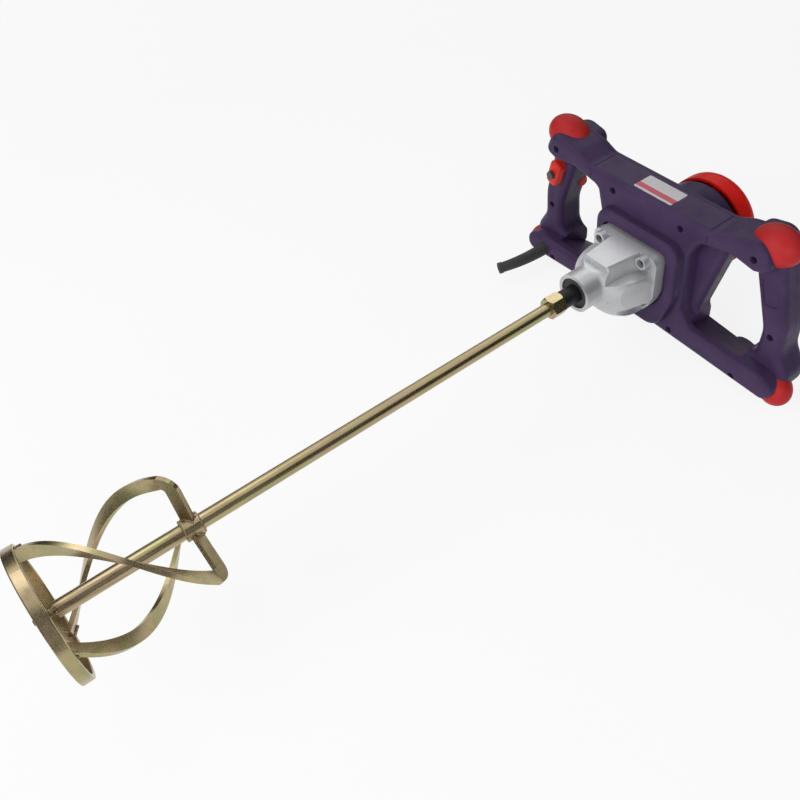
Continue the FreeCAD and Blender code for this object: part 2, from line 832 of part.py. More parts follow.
def window_slope(sink):
    """Wedges that let the floor of each hand window fall away to the back, most beside the grip."""
    front_y = grip_y - slope_lead
    top = window_floor + slope_height
    wedges = []
    for sign in (-1, 1):
        ends = []
        for x, drop in ((slope_inner_x - sink, slope_inner_drop), (slope_outer_x + sink, slope_outer_drop)):
            low = window_floor - sink
            profile = [(front_y, low), (grip_back_y, low - drop), (grip_back_y, top), (front_y, top)]
            corners = [V(sign * x, y, z) for y, z in profile]
            ends.append(Part.makePolygon(corners + corners[:1]))
        wedges.append(Part.makeLoft(ends, True, True))
    return wedges[0].fuse(wedges[1])


def slanted(shape, sign):
    """Turn a shape drawn upright at a control's place so that it lies along that grip."""
    shape.rotate(V(sign * control[0], 0, control[1]), AXIS, -sign * grip_slant)
    return shape


def control_prism(sign, grow, y0, y1):
    """Upright block of the trigger's outline, laid along one grip."""
    x = sign * control[0]
    half_w = trigger_width / 2 + grow
    half_h = trigger_height / 2 + grow
    spots = [(1, 1), (1, -1), (-1, -1), (-1, 1)]
    corners = [(x + i * half_w, control[1] + k * half_h, control_round + grow) for i, k in spots]
    return slanted(Part.Face(rounded_wire(corners, y0)).extrude(V(0, y1 - y0, 0)), sign)


def boss_set(y0, y1, diameter):
    """Screw bosses or holes of the shells."""
    bosses = [bar(y0, y1, diameter / 2, x, z) for x, z in all_shell_screws]
    return bosses[0].multiFuse(bosses[1:])


def front_outside():
    """Outside of the front shell as one solid."""
    base = slab(frame_face(grip_y), grip_y, split_y, grip_y, grip_round)
    beam = slab(beam_face(bar_y), bar_y, split_y, bar_y, bar_round)
    rim = slab(rim_face(collar_rim_y), collar_rim_y, split_y, collar_rim_y, rim_round)
    return union([base, beam, rim]).cut(window_slope(0))


def front_cavity():
    """Hollow of the front shell, one wall inside its outside."""
    base_y = grip_y + wall
    beam_y = bar_y + wall
    rim_y = floor_back_y
    base = slab(inset(frame_face(base_y), wall), base_y, split_y, base_y, grip_round - wall)
    beam = slab(inset(beam_face(beam_y), wall), beam_y, split_y, beam_y, bar_round - wall)
    rim = slab(inset(rim_face(rim_y), wall), rim_y, split_y, rim_y, rim_round - wall)
    hollow = union([base, beam, rim]).cut(window_slope(wall))
    hollow = hollow.cut(bar(collar_rim_y, split_y, tube_r, 0, motor_z))
    return hollow.cut(boss_set(collar_rim_y, split_y, shell_boss_d))


def case_boss_set():
    """Bosses behind the front shell's floor for the gear case screws."""
    bosses = [bar(floor_back_y, bracket_y - bracket_step, case_screw_d, x, z) for x, z in case_screws]
    return bosses[0].multiFuse(bosses[1:])


def front_skin():
    """Front shell before its openings are cut."""
    motor_bore = bar(bracket_y, split_y, motor_r, 0, motor_z)
    under_rim = block(-motor_r, motor_r, floor_back_y, bracket_y, motor_z - motor_r, rim_top - wall)
    gear_bore = bar(floor_back_y, bracket_y, motor_r - bracket_step, 0, motor_z).common(under_rim)
    hollow = front_cavity().fuse(gear_bore).cut(case_boss_set()).fuse(motor_bore)
    return front_outside().cut(hollow)


def bar_grooves():
    """Fine grooves over the top bar, either side of its middle."""
    bands = []
    for x in (-groove_x, groove_x):
        left = x - groove_width / 2
        right = x + groove_width / 2
        band = block(left, right, bar_y, split_y, rim_top, bar_top)
        core = block(left, right, bar_y + groove_depth, split_y, rim_top, bar_top - groove_depth)
        bands.append(band.cut(core))
    return bands


def front_shell(skin):
    """Front half of the housing."""
    cuts = [flange_slab(pocket_gap, collar_rim_y, plate_back_y)]
    cuts.append(bar(plate_back_y, floor_back_y, floor_hole_r))
    cuts.append(bar(plate_back_y, floor_back_y, pinion_tip_r + pinion_room, lay_x, lay_z))
    screw_end = case_head_y + case_screw_length + end_gap
    cuts += [bar(plate_back_y, screw_end, case_screw_d / 2 + seat_gap, x, z) for x, z in case_screws]
    cuts += bar_grooves()
    cuts.append(boss_set(collar_rim_y, shell_head_y, shell_hole_d))
    cuts.append(boss_set(shell_head_y, split_y, shell_screw_d + 2 * seat_gap))
    cuts.append(control_prism(-1, slide_gap, bar_y, grip_y + 2 * wall))
    cuts.append(control_prism(1, seat_gap, bar_y, grip_y + 2 * wall))
    cuts.append(bar(bar_y, bar_y + wall + end_gap, boot_root_r + seat_gap, boot_root.x, boot_root.z))
    return skin.cut(cuts[0].multiFuse(cuts[1:]))


def grip_blank(skin):
    """Plug that closes the control opening on the right grip, a step below the skin."""
    plug = skin.common(control_prism(1, 0, bar_y, grip_y + 2 * wall))
    plug.translate(V(0, blank_step, 0))
    return plug


def rear_outside():
    """Outside of the rear shell as one solid."""
    plate = slab(frame_face(split_y), split_y, bar_back_y, bar_back_y, bar_back_round)
    lobes = [slab(lobe_face(sign, split_y), split_y, grip_back_y, grip_back_y, grip_back_round)
             for sign in (-1, 1)]
    barrel = bar(split_y, barrel_end_y, tube_r, 0, motor_z)
    barrel = barrel.makeFillet(barrel_round, flat_edges(barrel, barrel_end_y))
    return union([plate, barrel] + lobes).cut(window_slope(0))


def rear_cavity():
    """Hollow of the rear shell, one wall inside its outside."""
    plate_y = bar_back_y - wall
    lobe_y = grip_back_y - wall
    plate = slab(inset(frame_face(split_y), wall), split_y, plate_y, plate_y, bar_back_round - wall)
    lobes = [slab(inset(lobe_face(sign, split_y), wall), split_y, lobe_y, lobe_y, grip_back_round - wall)
             for sign in (-1, 1)]
    hollow = union([plate] + lobes).cut(window_slope(wall))
    hollow = hollow.cut(bar(split_y, bar_back_y, tube_r, 0, motor_z))
    return hollow.cut(boss_set(split_y, grip_back_y, shell_boss_d))


def stator_ribs():
    """Four ribs along the barrel that grip the stator."""
    low = stator_r + seat_gap
    high = motor_r + tube_wall / 2
    ribs = [block(-rib_width / 2, rib_width / 2, core_y, core_end_y, low, high)]
    for i in range(1, 4):
        rib = ribs[0].copy()
        rib.rotate(V(), AXIS, 90 * i)
        ribs.append(rib)
    return ribs[0].multiFuse(ribs[1:])


def end_wall_cuts():
    """Bearing seat, air slots and screw holes in the barrel's end."""
    cuts = [bar(tail_bearing_y, tail_bearing_y + tail_bearing_width, tail_bearing_od / 2)]
    half = vent_width / 2
    for i in range(vent_count):
        slot = block(vent_inner_r, vent_outer_r, tail_bearing_y, barrel_end_y, -half, half)
        slot.rotate(V(), AXIS, 360.0 * (i + 0.5) / vent_count)
        cuts.append(slot)
    lands = [bar(tail_bearing_y, barrel_end_y, cap_post_d / 2, p.x, p.z) for p in post_spots()]
    return cuts[0].multiFuse(cuts[1:]).cut(lands[0].multiFuse(lands[1:]))


def post_spots():
    """Places of the rear cap's posts."""
    return [polar(cap_post_r, angle) for angle in post_angles]


def rear_shell():
    """Rear half of the housing with the motor barrel."""
    cuts = [bar(split_y, tail_bearing_y, motor_r).cut(stator_ribs()), end_wall_cuts()]
    screw_r = cap_screw_d / 2 + seat_gap
    cuts += [bar(cap_screw_end - end_gap, barrel_end_y, screw_r, p.x, p.z) for p in post_spots()]
    cuts = [on_motor_axis(cut) for cut in cuts]
    cuts.append(boss_set(split_y, shell_screw_end + end_gap, shell_screw_d + 2 * seat_gap))
    lock_start = V(-lock_face_x - lock_hole_in, lock_spot[0], lock_spot[1])
    lock_run = lock_hole_in + lock_hole_out
    cuts.append(Part.makeCylinder(lock_d / 2 + lock_gap, lock_run, lock_start, V(1, 0, 0)))
    return rear_outside().cut(rear_cavity()).cut(cuts[0].multiFuse(cuts[1:]))


def shell_screw_set():
    """Screws deep in the front shell's counterbores."""
    screws = []
    for x, z in all_shell_screws:
        head = bar(shell_head_y - shell_head_h, shell_head_y, shell_head_d / 2, x, z)
        drive = bar(shell_head_y - shell_head_h, shell_head_y - shell_head_h / 2, shell_screw_d / 2, x, z)
        shank = bar(shell_head_y, shell_screw_end, shell_screw_d / 2, x, z)
        screws.append(head.cut(drive).fuse(shank))
    return Part.makeCompound(screws)


def dome(y, r, straight, height):
    """Solid cap: short cylinder closed by an arc of revolution."""
    tip = y + height
    edges = [Part.makeLine(V(r, y, 0), V(r, y + straight, 0))]
    edges.append(bezier((r, y + straight), (r, y + straight + dome_swell), (r * dome_flat, tip), (0, tip)))
    edges.append(Part.makeLine(V(0, tip, 0), V(0, y, 0)))
    edges.append(Part.makeLine(V(0, y, 0), V(r, y, 0)))
    return Part.Face(Part.Wire(edges)).revolve(V(), AXIS, 360)


def end_cap():
    """Domed cap on posts behind the barrel, with the air inlet gap in front of it."""
    outside = dome(cap_y, cap_r, cap_straight, cap_height)
    inside = dome(cap_y, cap_r - cap_wall, cap_straight, cap_height - cap_wall)
    posts = [bar(barrel_end_y, cap_y + cap_height, cap_post_d / 2, p.x, p.z) for p in post_spots()]
    posts = [p.common(outside.fuse(bar(barrel_end_y, cap_y, cap_r))) for p in posts]
    shell = union([outside.cut(inside)] + posts)
    holes = [bar(cap_head_y, cap_y + cap_height, cap_head_d / 2 + slide_gap, p.x, p.z) for p in post_spots()]
    holes += [bar(barrel_end_y, cap_head_y, cap_screw_d / 2 + seat_gap, p.x, p.z) for p in post_spots()]
    return shell.cut(holes[0].multiFuse(holes[1:]))


def cap_screw_set():
    """Screws through the rear cap's posts into the barrel."""
    screws = []
    for p in post_spots():
        head = bar(cap_head_y, cap_head_y + cap_head_h, cap_head_d / 2, p.x, p.z)
        drive = bar(cap_head_y + cap_head_h / 2, cap_head_y + cap_head_h, cap_screw_d / 2, p.x, p.z)
        screws.append(head.cut(drive).fuse(bar(cap_screw_end, cap_head_y, cap_screw_d / 2, p.x, p.z)))
    return Part.makeCompound(screws)


def motor_bracket():
    """Disc across the motor tube that carries the armature and the second shaft."""
    disc = bar(bracket_y, bracket_y + bracket_thick, motor_r - seat_gap)
    lip_y = bracket_y + bearing_lip
    holes = [bar(lip_y, bracket_y + bracket_thick, motor_bearing_od / 2)]
    holes.append(bar(bracket_y, lip_y, motor_bearing_od / 2 - 2 * bearing_lip))
    holes.append(bar(bracket_y, bracket_y + bracket_thick, bush_od / 2, lay_x, lay_z - motor_z))
    for i in range(bracket_holes):
        spot = polar(bracket_hole_ring, 360.0 * i / bracket_holes)
        holes.append(bar(bracket_y, bracket_y + bracket_thick, bracket_hole_r, spot.x, spot.z))
    return disc.cut(holes[0].multiFuse(holes[1:]))


def armature_shaft():
    """Motor shaft with the first pinion cut on its front end."""
    half_pitch = 180.0 / pinion_teeth
    pinion = spur(pinion_teeth, first_gear_y, first_gear_width, half_pitch - mesh_angle)
    journal = bar(first_gear_y + first_gear_width, fan_y, motor_bearing_bore / 2)
    middle = bar(fan_y, core_end_y + winding_length, core_shaft_d / 2)
    tail = bar(core_end_y + winding_length, tail_bearing_y + tail_bearing_width - end_gap, motor_shaft_d / 2)
    return union([pinion, journal, middle, tail])


def armature_core():
    """Slotted lamination stack."""
    core = bar(core_y, core_end_y, armature_r).cut(bar(core_y, core_end_y, core_shaft_d / 2 + seat_gap))
    half = slot_width / 2
    slots = []
    for i in range(armature_slots):
        slot = block(armature_r - slot_depth, 2 * armature_r, core_y, core_end_y, -half, half)
        slot.rotate(V(), AXIS, 360.0 * i / armature_slots)
        slots.append(slot)
    return core.cut(slots[0].multiFuse(slots[1:]))


def armature_winding():
    """Wound coils: a filling in each slot and the end turns."""
    inner_r = core_shaft_d / 2 + seat_gap
    ends = [tube(core_y - winding_length, core_y, winding_r, inner_r)]
    ends.append(tube(core_end_y, core_end_y + winding_length, winding_r, inner_r))
    fill = slot_width / 2 - seat_gap
    for i in range(armature_slots):
        bundle = block(armature_r - slot_depth + seat_gap, winding_r, core_y, core_end_y, -fill, fill)
        bundle.rotate(V(), AXIS, 360.0 * i / armature_slots)
        ends.append(bundle)
    return union(ends)


def commutator():
    """Copper bars with the cuts between them."""
    end_y = commutator_y + commutator_length
    ring = tube(commutator_y, end_y, commutator_r, motor_shaft_d / 2 + seat_gap)
    half = commutator_cut / 2
    cuts = []
    for i in range(commutator_bars):
        cut = block(commutator_r - commutator_cut_depth, 2 * commutator_r, commutator_y, end_y, -half, half)
        cut.rotate(V(), AXIS, 360.0 * i / commutator_bars)
        cuts.append(cut)
    return ring.cut(cuts[0].multiFuse(cuts[1:]))


def cooling_fan():
    """Radial fan on the motor shaft."""
    inner_r = core_shaft_d / 2 + seat_gap
    parts = [tube(fan_y, fan_y + fan_disc, fan_r, inner_r)]
    parts.append(tube(fan_y, fan_y + fan_height, fan_hub_r, inner_r))
    for i in range(fan_blades):
        blade = block(fan_hub_r - fan_disc, fan_r, fan_y, fan_y + fan_height, -fan_blade / 2, fan_blade / 2)
        blade.rotate(V(), AXIS, 360.0 * i / fan_blades)
        parts.append(blade)
    return union(parts)


def coil_sector(r_in, r_out, y0, y1, sweep):
    """Two opposite ring sectors, centred on +X and -X."""
    ring = tube(y0, y1, r_out, r_in)
    sectors = []
    for side in (0, 180):
        points = [V(0, y0, 0)]
        points += [polar(2 * r_out, side + sweep * f, y0) for f in (-0.5, -0.25, 0, 0.25, 0.5)]
        pie = Part.Face(Part.makePolygon(points + points[:1])).extrude(V(0, y1 - y0, 0))
        sectors.append(ring.common(pie))
    return sectors


def stator_core():
    """Field laminations with a slot either side for the coils."""
    ring = tube(core_y, core_end_y, stator_r, armature_r + air_gap)
    slots = coil_sector(coil_inner_r - coil_gap, coil_outer_r + coil_gap, core_y, core_end_y,
                        coil_sweep + coil_slack)
    return ring.cut(slots[0].fuse(slots[1]))


def field_coils():
    """Two field coils that lie in the stator's slots."""
    front_y = core_y - coil_front_overhang
    back_y = core_end_y + coil_overhang
    return Part.makeCompound(coil_sector(coil_inner_r - coil_gap, coil_outer_r, front_y, back_y, coil_sweep))


def brush_holders():
    """Square tubes that guide the brushes, screwed across the barrel."""
    mid_y = commutator_y + commutator_length / 2
    half_w = brush_width / 2 + holder_wall
    half_h = brush_height / 2 + holder_wall
    start = commutator_r + holder_gap
    box = block(start, holder_end_r, mid_y - half_w, mid_y + half_w, -half_h, half_h)
    base = block(holder_end_r, motor_r, mid_y - half_w, mid_y + half_w, -half_h, half_h)
    slot_w = brush_width / 2 + seat_gap
    slot_h = brush_height / 2 + seat_gap
    guide = block(start, holder_end_r - holder_wall, mid_y - slot_w, mid_y + slot_w, -slot_h, slot_h)
    right = box.fuse(base).cut(guide).common(bar(mid_y - half_w, mid_y + half_w, motor_r - seat_gap))
    right = right.removeSplitter()
    left = right.copy()
    left.rotate(V(), AXIS, 180)
    return Part.makeCompound([right, left])


def carbon_brushes():
    """Two brushes on the commutator."""
    mid_y = commutator_y + commutator_length / 2
    start = commutator_r + brush_touch
    right = block(start, start + brush_length, mid_y - brush_width / 2, mid_y + brush_width / 2,
                  -brush_height / 2, brush_height / 2)
    left = right.copy()
    left.rotate(V(), AXIS, 180)
    return Part.makeCompound([right, left])


def brush_springs():
    """Springs that push the brushes inwards."""
    mid_y = commutator_y + commutator_length / 2
    start = commutator_r + brush_touch + brush_length + spring_wire / 2 + seat_gap
    length = holder_end_r - holder_wall - start - spring_wire / 2 - seat_gap
    springs = [coil(V(sign * start, mid_y, 0), V(sign, 0, 0), length, brush_spring_r, brush_spring_turns)
               for sign in (-1, 1)]
    return Part.makeCompound(springs)


def egg(centre, long_r, round_r, along):
    """Egg-shaped solid turned about its long axis, with small flat ends."""
    near = long_r * bumper_swell
    full = round_r * bumper_swell
    edges = [bezier((bumper_flat, -long_r), (full, -long_r), (round_r, -near), (round_r, 0))]
    edges.append(bezier((round_r, 0), (round_r, near), (full, long_r), (bumper_flat, long_r)))
    solid = turned(edges)
    solid.Placement = FreeCAD.Placement(centre, FreeCAD.Rotation(AXIS, along))
    return solid


def bumper(spot, long_r, round_r, tilt, sign, frame):
    """Rubber corner bumper moulded over a corner of the frame, flat where it stands."""
    along = polar(1, tilt)
    body = egg(V(sign * spot[0], spot[1], spot[2]), long_r, round_r, V(sign * along.x, 0, along.z))
    body = body.common(block(-far, far, 0, far, foot_z, far)).cut(frame)
    return max(body.Solids, key=lambda solid: solid.Volume)


def trigger():
    """Trigger with a slide pocket behind and the speed dial's bearing in front."""
    body = control_prism(-1, 0, trigger_front_y, trigger_back_y)
    body = body.makeFillet(trigger_round, flat_edges(body, trigger_front_y))
    x = -control[0]
    z = control[1]
    half_w = post_width / 2 + pocket_slide
    half_h = post_height / 2 + pocket_slide
    pocket = block(x - half_w, x + half_w, pocket_front_y, trigger_back_y, z - half_h, z + half_h)
    stem = bar(trigger_front_y, trigger_front_y + dial_stem + end_gap, dial_stem_d / 2 + run_gap, x, z)
    return body.cut(slanted(pocket, -1)).cut(stem)


def speed_dial():
    """Fluted knob on the trigger that limits the speed."""
    x = -control[0]
    z = control[1]
    top = trigger_front_y - dial_gap
    knob = bar(top - dial_height, top, dial_d / 2, x, z)
    knob = knob.makeFillet(dial_round, flat_edges(knob, top - dial_height))
    flutes = []
    for i in range(dial_flutes):
        spot = polar(dial_d / 2 + dial_flute_r / 2, 360.0 * i / dial_flutes)
        flutes.append(bar(top - dial_height, top, dial_flute_r, x + spot.x, z + spot.z))
    knob = knob.cut(flutes[0].multiFuse(flutes[1:]))
    return knob.fuse(bar(top, trigger_front_y + dial_stem, dial_stem_d / 2, x, z)).removeSplitter()


def switch_body():
    """Switch behind the trigger, with the post that the trigger slides on."""
    x = -control[0]
    mid_z = control[1] + switch_lift
    back_y = grip_back_y - wall - seat_gap
    case = block(x - switch_width / 2, x + switch_width / 2, switch_y, back_y,
                 mid_z - switch_height / 2, mid_z + switch_height / 2)
    case = case.makeChamfer(switch_bevel, flat_edges(case, back_y))
    post = block(x - post_width / 2, x + post_width / 2, post_front_y, switch_y,
                 control[1] - post_height / 2, control[1] + post_height / 2)
    return slanted(case.fuse(post).removeSplitter(), -1)


def trigger_spring():
    """Return spring between the trigger and its post."""
    start = pocket_front_y + spring_wire / 2 + seat_gap
    length = post_front_y - pocket_front_y - spring_wire - 2 * seat_gap
    return coil(V(-control[0], start, control[1]), AXIS, length, trigger_spring_r, trigger_spring_turns)


def lock_button():
    """Button on the inner side of the left grip that holds the trigger in."""
    face = V(-lock_face_x, lock_spot[0], lock_spot[1])
    body = Part.makeCylinder(lock_d / 2, lock_length, face, V(-1, 0, 0))
    rim = [e for e in body.Edges if abs(e.BoundBox.XMin + lock_face_x) < 1e-4]
    body = body.makeFillet(lock_round, rim)
    back = face - V(lock_length, 0, 0)
    return body.cut(Part.makeCylinder(lock_pocket_r, lock_pocket, back, V(1, 0, 0)))


def lock_spring():
    """Return spring between the lock button and the grip's outer wall."""
    start_x = -lock_face_x - lock_length + lock_pocket - spring_wire / 2 - seat_gap
    wall_x = wall - outer_x(lock_spot[1] + lock_spring_r + spring_wire)
    length = start_x - wall_x - spring_wire / 2 - seat_gap
    start = V(start_x, lock_spot[0], lock_spot[1])
    return coil(start, V(-1, 0, 0), length, lock_spring_r, lock_spring_turns)


def cord_boot(skin):
    """Tapered bend relief at the cord inlet, open along its bore, with a flange behind the skin."""
    run = boot_tip - boot_root
    side = run.cross(V(0, 0, 1)).normalize()

    def station(f):
        return boot_root + run * f - side * (boot_bow * 4 * f * (1 - f))

    def circle(f, radius):
        ahead = station(min(1, f + 0.01)) - station(max(0, f - 0.01))
        return Part.Wire(Part.makeCircle(radius, station(f), ahead if f > 0 else V(0, -1, 0)))

    steps = [i / 6 for i in range(7)]
    outside = Part.makeLoft([circle(f, boot_root_r + (boot_tip_r - boot_root_r) * f) for f in steps], True)
    bore = Part.makeLoft([circle(f, boot_bore_r) for f in steps], True)
    tip_ahead = (station(1) - station(0.99)).normalize()
    rim_start = boot_tip - tip_ahead * boot_rim_length
    rim = Part.makeCylinder(boot_tip_r + boot_rim, boot_rim_length, rim_start, tip_ahead)
    seat_y = boot_root.y + wall + seat_gap
    end_y = seat_y + boot_flange
    neck = bar(boot_root.y, end_y, boot_root_r, boot_root.x, boot_root.z)
    flange = bar(seat_y, end_y, boot_flange_r, boot_root.x, boot_root.z).cut(skin)
    bore_back = bar(boot_root.y, end_y, boot_bore_r, boot_root.x, boot_root.z)
    bore_front = Part.makeCylinder(boot_bore_r, boot_rim, boot_tip, tip_ahead)
    return union([outside, rim, neck, flange]).cut(bore.multiFuse([bore_back, bore_front]))


def build():
    """All pieces by name."""
    skin = front_skin()
    frame = union([front_outside(), rear_outside()])
    parts = {
        "front_shell": front_shell(skin),
        "rear_shell": rear_shell(),
        "end_cap": on_motor_axis(end_cap()),
        "gear_case": gear_case(),
        "bearing_plate": bearing_plate(),
        "motor_bracket": on_motor_axis(motor_bracket()),
        "case_screws": case_screw_set(),
        "housing_screws": shell_screw_set(),
        "cap_screws": on_motor_axis(cap_screw_set()),
        "grip_blank": grip_blank(skin),
        "spindle": spindle(),
        "spindle_seal": spindle_seal(),
        "spindle_front_bearing": bearing(front_bearing_y, front_bearing_width, front_bearing_od / 2,
                                         front_bearing_bore / 2),
        "spindle_rear_bearing": bearing(flange_back_y, rear_bearing_width, rear_bearing_od / 2,
                                        rear_bearing_bore / 2),
        "output_gear": output_gear(),
        "layshaft": layshaft(),
        "layshaft_gear": layshaft_gear(),
        "layshaft_front_bush": bush(bush_y, bush_length),
        "layshaft_rear_bush": bush(bracket_y, bracket_thick),
        "armature_shaft": on_motor_axis(armature_shaft()),
        "armature_core": on_motor_axis(armature_core()),
        "armature_winding": on_motor_axis(armature_winding()),
        "commutator": on_motor_axis(commutator()),
        "cooling_fan": on_motor_axis(cooling_fan()),
        "armature_front_bearing": bearing(bracket_y + bearing_lip, bracket_thick - bearing_lip,
                                          motor_bearing_od / 2, motor_bearing_bore / 2, 0, motor_z),
        "armature_rear_bearing": bearing(tail_bearing_y, tail_bearing_width, tail_bearing_od / 2,
                                         motor_shaft_d / 2, 0, motor_z),
        "stator_core": on_motor_axis(stator_core()),
        "field_coils": on_motor_axis(field_coils()),
        "brush_holders": on_motor_axis(brush_holders()),
        "carbon_brushes": on_motor_axis(carbon_brushes()),
        "brush_springs": on_motor_axis(brush_springs()),
        "switch_body": switch_body(),
        "trigger": trigger(),
        "trigger_spring": trigger_spring(),
        "speed_dial": speed_dial(),
        "lock_button": lock_button(),
        "lock_spring": lock_spring(),
        "cord_boot": cord_boot(skin),
        "paddle_rod": paddle_rod(),
        "paddle_hex": paddle_hex(),
        "paddle_hub": paddle_hub(),
        "paddle_ring": paddle_ring(),
        "paddle_crossbar": paddle_crossbar(),
    }
    for side, sign in (("left", -1), ("right", 1)):
        parts["top_bumper_" + side] = bumper(top_bumper, top_bumper_long, top_bumper_round,
                                             top_bumper_tilt, sign, frame)
        parts["bottom_bumper_" + side] = bumper(low_bumper, low_bumper_long, low_bumper_round,
                                                low_bumper_tilt, sign, frame)
    for i in range(ribbon_count):
        parts["paddle_ribbon_%d" % (i + 1)] = ribbon(arm_angle + 360.0 * i / ribbon_count)
    return parts


os.makedirs("parts", exist_ok=True)
for name, shape in build().items():
    shape.exportStep("parts/%s.step" % name)
    print(name, len(shape.Solids), "valid" if shape.isValid() else "NOT VALID", round(shape.Volume))
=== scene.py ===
"""Looks of the mixing drill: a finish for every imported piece, the small parts that the solids leave out,
a pale studio and the camera of the photograph. Metres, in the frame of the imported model."""
import bpy
import bmesh
import json
import math
from mathutils import Matrix, Vector

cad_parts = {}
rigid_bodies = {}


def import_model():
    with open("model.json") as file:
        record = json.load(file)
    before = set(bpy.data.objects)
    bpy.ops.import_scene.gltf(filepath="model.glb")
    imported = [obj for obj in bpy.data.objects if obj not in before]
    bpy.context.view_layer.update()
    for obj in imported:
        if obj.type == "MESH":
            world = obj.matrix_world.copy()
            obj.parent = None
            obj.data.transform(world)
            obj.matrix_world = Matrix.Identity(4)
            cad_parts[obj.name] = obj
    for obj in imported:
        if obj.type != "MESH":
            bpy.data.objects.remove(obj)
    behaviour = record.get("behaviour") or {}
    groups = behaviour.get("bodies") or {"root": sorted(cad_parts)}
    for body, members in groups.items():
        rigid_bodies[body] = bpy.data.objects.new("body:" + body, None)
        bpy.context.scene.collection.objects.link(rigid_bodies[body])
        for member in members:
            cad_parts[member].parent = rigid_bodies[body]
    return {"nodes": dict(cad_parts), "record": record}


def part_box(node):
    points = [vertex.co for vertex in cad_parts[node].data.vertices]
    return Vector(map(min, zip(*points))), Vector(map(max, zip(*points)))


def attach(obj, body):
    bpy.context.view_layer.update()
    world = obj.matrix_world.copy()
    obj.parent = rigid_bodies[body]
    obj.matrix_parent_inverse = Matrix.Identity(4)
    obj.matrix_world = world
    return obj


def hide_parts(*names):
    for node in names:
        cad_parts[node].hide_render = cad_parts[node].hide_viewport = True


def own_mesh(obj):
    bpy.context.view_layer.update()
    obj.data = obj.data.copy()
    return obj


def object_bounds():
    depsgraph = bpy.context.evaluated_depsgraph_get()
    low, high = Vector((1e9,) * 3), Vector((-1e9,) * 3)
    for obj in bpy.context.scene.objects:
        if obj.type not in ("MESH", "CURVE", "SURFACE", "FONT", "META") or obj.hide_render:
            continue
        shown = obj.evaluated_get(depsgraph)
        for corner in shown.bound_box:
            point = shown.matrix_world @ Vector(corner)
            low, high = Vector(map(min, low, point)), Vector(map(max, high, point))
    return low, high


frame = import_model()
cad_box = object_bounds()
record = frame["record"]

# How a pattern is stretched: not at all, into rings round the spindle's way, or into lines along it
EVEN = (1, 1, 1)
TURNED = (0.02, 1.0, 0.02)
WOUND = (0.05, 1.0, 0.05)
STACKED = (0.01, 1.0, 0.01)
DRAWN = (1.0, 0.02, 1.0)
DRAWN_CLOUDS = (1.0, 0.3, 1.0)

# Places on the housing: the joint of its shells, the top of its bar and the front edge of the plate
SHELL_JOINT = 0.142
BAR_TOP = 0.071
PLATE_FRONT = 0.110

# The paddle's bars, and where its arms, spirals and crossbar stand round the spindle's axis
BAR_THICK = 0.004
BAR_WIDTH = 0.0115
ARM_ANGLE = math.radians(101)
RIBBON_TURN = math.radians(156)
RIBBON_END_RISE = 0.002
CROSSBAR_ANGLE = math.radians(50.6)
ARMS = 3

# The paddle's measures, read from the frame
hub_low, hub_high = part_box("paddle_hub")
ring_low, ring_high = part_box("paddle_ring")
rod_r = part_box("paddle_rod")[1][0]
hub_r = hub_high[0]
hub_y = (hub_low[1] + hub_high[1]) / 2
ring_y = (ring_low[1] + ring_high[1]) / 2
inner_r = ring_high[0] - BAR_THICK
ribbon_rise = math.atan2(hub_y - ring_y - RIBBON_END_RISE, (inner_r - BAR_WIDTH / 2) * RIBBON_TURN)

# Lowest point of the drill, where the studio's floor lies
FLOOR_Z = cad_box[0][2]


class Value:
    """A shader socket that can stand in a sum."""

    def __init__(self, nodes, socket):
        self.nodes = nodes
        self.socket = socket

    def maths(self, operation, first, second=None):
        """Result of an operation on one or two values."""
        sockets = {0: first} if second is None else {0: first, 1: second}
        return self.nodes.node("Math", {"operation": operation}, sockets)

    def __add__(self, other):
        return self.maths("ADD", self, other)

    def __sub__(self, other):
        return self.maths("SUBTRACT", self, other)

    def __rsub__(self, other):
        return self.maths("SUBTRACT", other, self)

    def __mul__(self, other):
        return self.maths("MULTIPLY", self, other)

    def __abs__(self):
        return self.maths("ABSOLUTE", self)

    __radd__ = __add__
    __rmul__ = __mul__


class Nodes:
    """A node tree and the one way in which nodes are added to it."""

    def __init__(self, tree):
        self.tree = tree

    def node(self, kind, settings=None, sockets=None, output=0):
        """Any node: its type, its settings and the values or links of its sockets."""
        node = self.tree.nodes.new("ShaderNode" + kind)
        for key, value in (settings or {}).items():
            if key == "stops":
                ramp = node.color_ramp.elements
                while len(ramp) < len(value):
                    ramp.new(1.0)
                for stop, (place, colour) in zip(ramp, value):
                    stop.position = place
                    stop.color = (*colour, 1.0)
            else:
                setattr(node, key, value)
        for key, value in (sockets or {}).items():
            self.feed(node.inputs[key], value)
        return Value(self, node.outputs[output])

    def feed(self, socket, value):
        """Set a socket, or link it to a value."""
        if isinstance(value, Value):
            self.tree.links.new(value.socket, socket)
        else:
            socket.default_value = value

    def between(self, value, low, high, out_low=0.0, out_high=1.0):
        """Value stretched from one range to another, held at the ends."""
        return self.node("MapRange", {"clamp": True}, {0: value, 1: low, 2: high, 3: out_low, 4: out_high})

    def seen(self):
        """One for rays that look at the background: straight, through glass or by a reflection."""
        paths = [self.node("LightPath", output=name) for name in
                 ("Is Camera Ray", "Is Glossy Ray", "Is Transmission Ray")]
        return self.between(paths[0] + paths[1] + paths[2], 0.0, 1.0)


